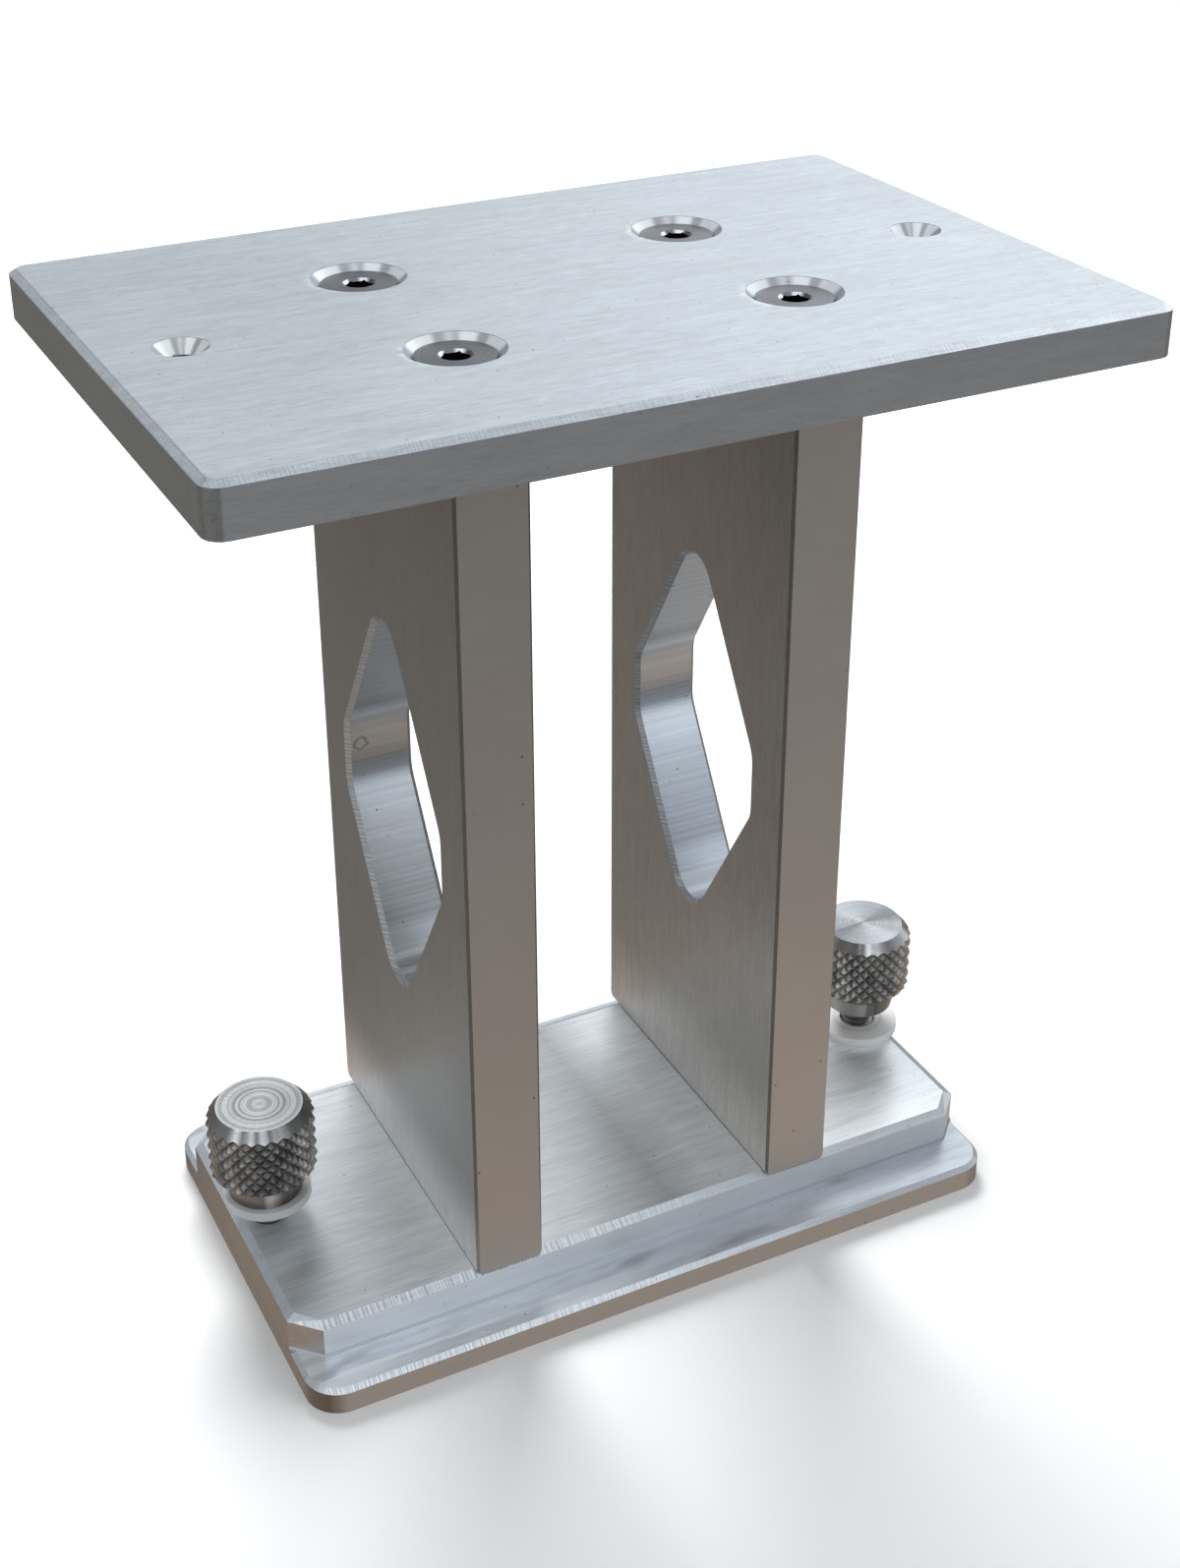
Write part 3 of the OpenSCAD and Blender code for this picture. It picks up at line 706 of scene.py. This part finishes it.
def knurledSteel(name, look):
    material, tree, surface, place, normal = newMaterial(name)
    turned = useGroup(tree, turnedLines, Vector=place, Away=thumbX, Across=0.0, Pitch=look["pitch"])
    height = split(tree, place)[2]
    level = split(tree, normal)[2]
    turn = asTurn(tree, turned["Angle"])

    # the grooves are painted darker as painted shade, and the knurl lighter and darker round the knob as
    # painted glints
    groove = look["knurlRadius"] - look["knurlDepth"]
    raised = remap(tree, turned["Radius"], groove, look["knurlRadius"] - look["tipWidth"])
    knurl = mixColor(tree, raised, look["groove"], look["tip"])
    knurl = tinted(tree, knurl, turnRamp(tree, turn, look["knurl"]))
    cells = noise(tree, place, look["cellScale"], detail=1.0)
    color = scaleColor(tree, knurl, remap(tree, cells, *look["cellRange"], *look["cellLevels"]))

    blur = look["edgeBlur"]
    # the collar and the chamfer get painted highlights and shade by direction round the knob
    collar = remap(tree, height, look["collarZ"] + blur, look["collarZ"] - blur)
    collarColor = tinted(tree, turnRamp(tree, turn, look["collar"]), look["collarTint"])
    color = mixColor(tree, collar, color, collarColor)
    cone = product(tree, remap(tree, height, look["chamferZ"], look["chamferZ"] + blur),
                   remap(tree, level, *look["coneLean"]), calc(tree, "LESS_THAN", level, look["topLean"][0]))
    coneColor = tinted(tree, turnRamp(tree, turn, look["chamfer"]), look["chamferTint"])
    color = mixColor(tree, cone, color, coneColor)

    top = remap(tree, level, *look["topLean"])
    rings = remap(tree, turned["Rings"], 0.0, 1.0, 1.0 - look["ringDepth"], 1.0)
    spokes = noise(tree, combine(tree, product(tree, turn, look["spokes"]), 0.0, 0.0), 1.0)
    shimmer = sway(tree, spokes, *look["spokeRange"], look["spokeDepth"])
    # a painted fan of highlights round the top
    fan = split(tree, turnRamp(tree, turn, look["topFan"]))[0]
    topColor = scaleColor(tree, look["top"][:3], product(tree, rings, shimmer, fan))
    plug(tree, mixColor(tree, top, color, topColor), surface.inputs["Base Color"])

    rough = calc(tree, "MULTIPLY_ADD", top, look["topRough"] - look["rough"], look["rough"])
    swing = remap(tree, turned["Rings"], 0.0, 1.0, look["roughSwing"], -look["roughSwing"])
    plug(tree, calc(tree, "ADD", rough, swing), surface.inputs["Roughness"])
    metal = calc(tree, "MULTIPLY_ADD", top, look["topMetal"] - look["metallic"], look["metallic"])
    plug(tree, metal, surface.inputs["Metallic"])
    turnedFace = calc(tree, "MAXIMUM", calc(tree, "MAXIMUM", top, cone), collar)
    radialTangent(tree, surface, product(tree, turnedFace, look["stretch"]))
    setBump(tree, surface, turned["Rings"], look)
    return material


studLook = {
    "color": (0.15, 0.148, 0.145, 1), "crest": (0.42, 0.42, 0.42, 1), "crestRadius": (0.0025, 0.0030),
    "rough": 0.35, "roughSwing": 0.08, "metallic": 0.9, "pitch": 0.0003,
}


def threadSteel(name, look):
    material, tree, surface, place, normal = newMaterial(name)
    turned = useGroup(tree, turnedLines, Vector=place, Away=thumbX, Across=0.0, Pitch=look["pitch"])
    crest = remap(tree, turned["Radius"], *look["crestRadius"])
    plug(tree, mixColor(tree, crest, look["color"], look["crest"]), surface.inputs["Base Color"])
    rough, swing = look["rough"], look["roughSwing"]
    setRough(tree, surface, turned["Rings"], rough + swing, rough - swing)
    surface.inputs["Metallic"].default_value = look["metallic"]
    return material


leftNylonLook = {
    "color": (0.74, 0.755, 0.76, 1), "deepShare": 0.93, "cloudScale": 260.0, "cloudRange": (0.3, 0.7),
    "lip": (0.60, 0.61, 0.61, 1), "lipRadius": 0.0045, "lipEdge": (0.0004, 0.0001),
    "rough": 0.40, "roughSwing": 0.05,
    "plain": {"Transmission Weight": 0.10, "Subsurface Weight": 0.6, "Subsurface Radius": (1.0, 1.0, 1.0),
              "Subsurface Scale": 0.001, "IOR": 1.5, "Metallic": 0.0},
}
# the right washer's copy of the nylon is painted lighter than the left one's, as painted light
rightNylonLitLook = {
    **leftNylonLook,
    "color": (1.0, 1.0, 1.0, 1), "lip": (0.80, 0.81, 0.81, 1),
    "plain": {**leftNylonLook["plain"], "Subsurface Weight": 0.3},
}


def clearNylon(name, look):
    material, tree, surface, place, normal = newMaterial(name)
    cloudy = noise(tree, place, look["cloudScale"], detail=3.0, rough=0.6)
    cloud = remap(tree, cloudy, *look["cloudRange"])
    deep = tuple(look["deepShare"] * part for part in look["color"][:3]) + (1.0,)
    around = useGroup(tree, turnedLines, Vector=place, Away=thumbX, Across=0.0)
    offLip = distanceTo(tree, around["Radius"], look["lipRadius"])
    lip = remap(tree, offLip, *look["lipEdge"], smooth=True)
    color = mixColor(tree, cloud, deep, look["color"])
    plug(tree, mixColor(tree, lip, color, look["lip"]), surface.inputs["Base Color"])
    setRough(tree, surface, cloud, look["rough"] - look["roughSwing"], look["rough"] + look["roughSwing"])
    for label, value in look["plain"].items():
        surface.inputs[label].default_value = value
    return material


screwSteel = turnedSteel("screwSteel", screwLook)
knobSteel = knurledSteel("knobSteel", knobLook)
roughKnobSteel = knurledSteel("roughKnobSteel", roughKnobLook)
studSteel = threadSteel("studSteel", studLook)
leftNylon = clearNylon("leftNylon", leftNylonLook)
rightNylonLit = clearNylon("rightNylonLit", rightNylonLitLook)
print("turned steels and nylons made")

# every node that isn't named here is a screw
finishes = {
    "top_plate": plateMetal, "left_upright": uprightMetal, "right_upright": rightUprightLitMetal,
    "base_plate": baseMetal, "left_knob": roughKnobSteel, "right_knob": knobSteel,
    "left_stud": studSteel, "right_stud": studSteel, "left_washer": leftNylon, "right_washer": rightNylonLit,
}
for name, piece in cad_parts.items():
    piece.data.materials.clear()
    piece.data.materials.append(finishes.get(name, screwSteel))
print("finishes given to every node")


def cleanSlate():
    if bpy.context.object and bpy.context.object.mode != "OBJECT":
        bpy.ops.object.mode_set(mode="OBJECT")
    bpy.ops.object.select_all(action="DESELECT")


# threads, modelled as a rod with a ridge wound round it, in metres and degrees
threadShape = {
    "core": 0.00246, "crest": 0.00296, "pitch": 0.001, "width": 0.00088, "steps": 28,
    "bury": 0.0001,  # how deep the ridge's foot goes into the rod
    "weld": 0.000001, "shorter": 0.0002, "rodBevel": 0.0004, "smoothAngle": 35,
}


def windThread(name, node, shape):
    low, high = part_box(node)
    middleX = (low.x + high.x) / 2
    length = high.z - low.z
    cleanSlate()
    bpy.ops.mesh.primitive_circle_add(vertices=3, radius=1.0, fill_type="NGON", location=(0, 0, 0))
    ridge = bpy.context.object
    ridge.name = name
    inner = shape["core"] - shape["bury"]
    corners = [(shape["crest"], 0.0), (inner, shape["width"] / 2), (inner, -shape["width"] / 2)]
    for vertex, (out, up) in zip(ridge.data.vertices, corners):
        vertex.co = (out, 0.0, up + low.z + shape["pitch"])
    wind = ridge.modifiers.new("wind", "SCREW")
    wind.axis = "Z"
    wind.angle = 2 * math.pi
    wind.screw_offset = shape["pitch"]
    wind.iterations = int(length / shape["pitch"]) - 1
    wind.steps = shape["steps"]
    wind.render_steps = shape["steps"]
    wind.use_smooth_shade = True
    bpy.ops.object.modifier_apply(modifier="wind")
    bpy.ops.object.mode_set(mode="EDIT")
    bpy.ops.mesh.select_all(action="SELECT")
    bpy.ops.mesh.remove_doubles(threshold=shape["weld"])
    bpy.ops.mesh.fill_holes(sides=0)
    bpy.ops.mesh.normals_make_consistent(inside=False)
    cleanSlate()
    bpy.ops.mesh.primitive_cylinder_add(
        vertices=shape["steps"], radius=shape["core"], depth=length - shape["shorter"],
        location=(0, 0, (low.z + high.z) / 2))
    bpy.ops.object.mode_set(mode="EDIT")
    bpy.ops.mesh.select_all(action="SELECT")
    bpy.ops.mesh.bevel(offset=shape["rodBevel"], segments=1, affect="EDGES")
    bpy.ops.object.mode_set(mode="OBJECT")
    ridge.select_set(True)
    bpy.context.view_layer.objects.active = ridge
    bpy.ops.object.join()
    ridge.location = (middleX, 0, 0)
    bpy.ops.object.transform_apply(location=True, rotation=True, scale=True)
    bpy.ops.object.shade_smooth_by_angle(angle=math.radians(shape["smoothAngle"]))
    ridge.data.materials.clear()
    ridge.data.materials.append(studSteel)
    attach(ridge, "left_screw" if middleX < 0 else "right_screw")
    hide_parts(node)


windThread("leftThread", "left_stud", threadShape)
windThread("rightThread", "right_stud", threadShape)
print("threads wound")


# studio: mirror rays meet a painted room, and the camera sees a pale floor and a white world
def addShader(tree, kind, color):
    made = addNode(tree, kind)
    plug(tree, color, made.inputs["Color"])
    return made


def chooseByRay(tree, output, plain, mirrored, seen):
    rays = addNode(tree, "ShaderNodeLightPath")
    direct = calc(tree, "MAXIMUM", rays.outputs["Is Camera Ray"], rays.outputs["Is Transmission Ray"])
    current = plain
    for factor, other in ((rays.outputs["Is Glossy Ray"], mirrored), (direct, seen)):
        step = addNode(tree, "ShaderNodeMixShader")
        plug(tree, factor, step.inputs[0])
        tree.links.new(current.outputs[0], step.inputs[1])
        tree.links.new(other.outputs[0], step.inputs[2])
        current = step
    tree.links.new(current.outputs[0], output.inputs["Surface"])


# the runs are in metres from front to back
floorLook = {
    "size": 12.0, "below": 0.00002, "seen": (0.97, 0.97, 0.97, 1), "bounce": (0.30, 0.29, 0.28, 1),
    "mirroredNear": (0.62, 0.54, 0.47, 1), "mirroredFar": (0.33, 0.325, 0.32, 1), "nearRun": (-0.22, -0.04),
    "mirroredBack": (0.27, 0.25, 0.225, 1), "backRun": (0.0, 0.08),
}


def layFloor(look):
    cleanSlate()
    bpy.ops.mesh.primitive_plane_add(size=look["size"], location=(0, 0, -look["below"]))
    floor = bpy.context.object
    floor.name = "studioFloor"
    bpy.ops.object.transform_apply(location=True)
    material = bpy.data.materials.new("studioFloor")
    tree, output = blankTree(material, "ShaderNodeOutputMaterial")
    y = split(tree, addNode(tree, "ShaderNodeTexCoord").outputs["Object"])[1]
    near = remap(tree, y, *look["nearRun"], smooth=True)
    ahead = mixColor(tree, near, look["mirroredFar"], look["mirroredNear"])
    behind = remap(tree, y, *look["backRun"], smooth=True)
    mirrored = mixColor(tree, behind, ahead, look["mirroredBack"])
    chooseByRay(tree, output, addShader(tree, "ShaderNodeBsdfDiffuse", look["bounce"]),
                addShader(tree, "ShaderNodeEmission", mirrored),
                addShader(tree, "ShaderNodeBsdfDiffuse", look["seen"]))
    floor.data.materials.append(material)


# each run is measured on one part of the ray's direction, from where a change starts to where it ends
worldLook = {
    "seen": (1, 1, 1, 1), "soft": (0.80, 0.82, 0.84, 1), "ambient": 0.75,
    "backLow": (0.42, 0.44, 0.46, 1), "backHigh": (0.30, 0.31, 0.32, 1), "raisedRun": (0.38, 0.60),
    "windowLow": (1.08, 1.12, 1.16, 1), "windowHigh": (2.6, 2.7, 2.8, 1), "windowStart": (0.24, 0.36),
    "windowEnd": 0.56, "front": (0.75, 0.82, 0.90, 1), "frontRun": (0.1, -0.35),
    "overhead": (0.86, 0.89, 0.92, 1), "overheadRun": (0.7, 0.9),
    # ceiling strips seen in the turned faces, bright at these azimuths and brightest above 30 degrees
    "strips": [(-180, 0.5), (-172, 1.7), (-160, 1.7), (-153, 0.3), (-142, 0.3), (-133, 1.5), (-118, 0.3),
               (-106, 1.4), (-86, 0.3), (-71, 1.4), (-50, 0.4), (-25, 0.6), (-17, 1.6), (-8, 0.6), (5, 0.4),
               (140, 0.3), (153, 1.5), (165, 0.4)],
    "stripRise": (0.42, 0.56), "stripAside": (0.35, 0.05),
}


def paintWorld(look):
    world = bpy.data.worlds.new("studioWorld")
    scene.world = world
    tree, output = blankTree(world, "ShaderNodeOutputWorld")
    toward = split(tree, addNode(tree, "ShaderNodeTexCoord").outputs["Generated"])
    raised = remap(tree, toward[2], *look["raisedRun"], smooth=True)
    back = mixColor(tree, raised, look["backLow"], look["backHigh"])
    window = mixColor(tree, raised, look["windowLow"], look["windowHigh"])
    windowStart = blend(tree, raised, *look["windowStart"])
    room = mixColor(tree, remap(tree, toward[0], windowStart, look["windowEnd"], smooth=True), back, window)
    room = mixColor(tree, remap(tree, toward[1], *look["frontRun"], smooth=True), room, look["front"])
    strips = turnRamp(tree, turnOf(tree, toward[0], toward[1]), look["strips"])
    aside = remap(tree, toward[1], *look["stripAside"], smooth=True)
    high = product(tree, remap(tree, toward[2], *look["stripRise"], smooth=True), aside)
    room = mixColor(tree, high, room, strips)
    room = mixColor(tree, remap(tree, toward[2], *look["overheadRun"], smooth=True), room, look["overhead"])
    soft = addShader(tree, "ShaderNodeBackground", look["soft"])
    soft.inputs["Strength"].default_value = look["ambient"]
    chooseByRay(tree, output, soft, addShader(tree, "ShaderNodeBackground", room),
                addShader(tree, "ShaderNodeBackground", look["seen"]))


def hangLamp(name, place, aim, size, power):
    cleanSlate()
    bpy.ops.object.light_add(type="AREA", location=place)
    lamp = bpy.context.object
    lamp.name = name
    lamp.data.shape = "DISK"
    lamp.data.size = size
    lamp.data.energy = power
    toward = [aim[index] - place[index] for index in range(3)]
    flat = math.hypot(toward[0], toward[1])
    lamp.rotation_euler = (math.atan2(flat, -toward[2]), 0, math.atan2(-toward[0], toward[1]))
    lamp.visible_glossy = False


layFloor(floorLook)
paintWorld(worldLook)
# the key lamp hangs behind, and a weak fill in front
lamps = {
    "keyLamp": {"place": (0.25, 0.95, 0.98), "aim": (0, 0, 0.08), "size": 0.7, "power": 18.0},
    "fillLamp": {"place": (-0.9, -0.8, 0.7), "aim": (0, 0, 0.08), "size": 0.9, "power": 1.5},
}
for name, lamp in lamps.items():
    hangLamp(name, **lamp)
print("studio ready")


# camera at the photograph's viewing angle
cameraView = {
    "place": (-0.1449, -0.29313, 0.27311), "turn": (63.6488, 0.4497, -26.1531),
    "lens": 51.305, "sensorHeight": 36.0, "shiftX": 0.01706, "shiftY": -0.10308, "near": 0.01, "far": 50.0,
}
cleanSlate()
bpy.ops.object.camera_add(location=cameraView["place"])
camera = bpy.context.object
camera.name = "photoCamera"
camera.rotation_euler = [math.radians(part) for part in cameraView["turn"]]
camera.data.sensor_fit = "VERTICAL"
camera.data.sensor_height = cameraView["sensorHeight"]
camera.data.lens = cameraView["lens"]
camera.data.shift_x = cameraView["shiftX"]
camera.data.shift_y = cameraView["shiftY"]
camera.data.clip_start = cameraView["near"]
camera.data.clip_end = cameraView["far"]
scene.camera = camera
scene.view_settings.view_transform = "Standard"
print("camera set")

cleanSlate()
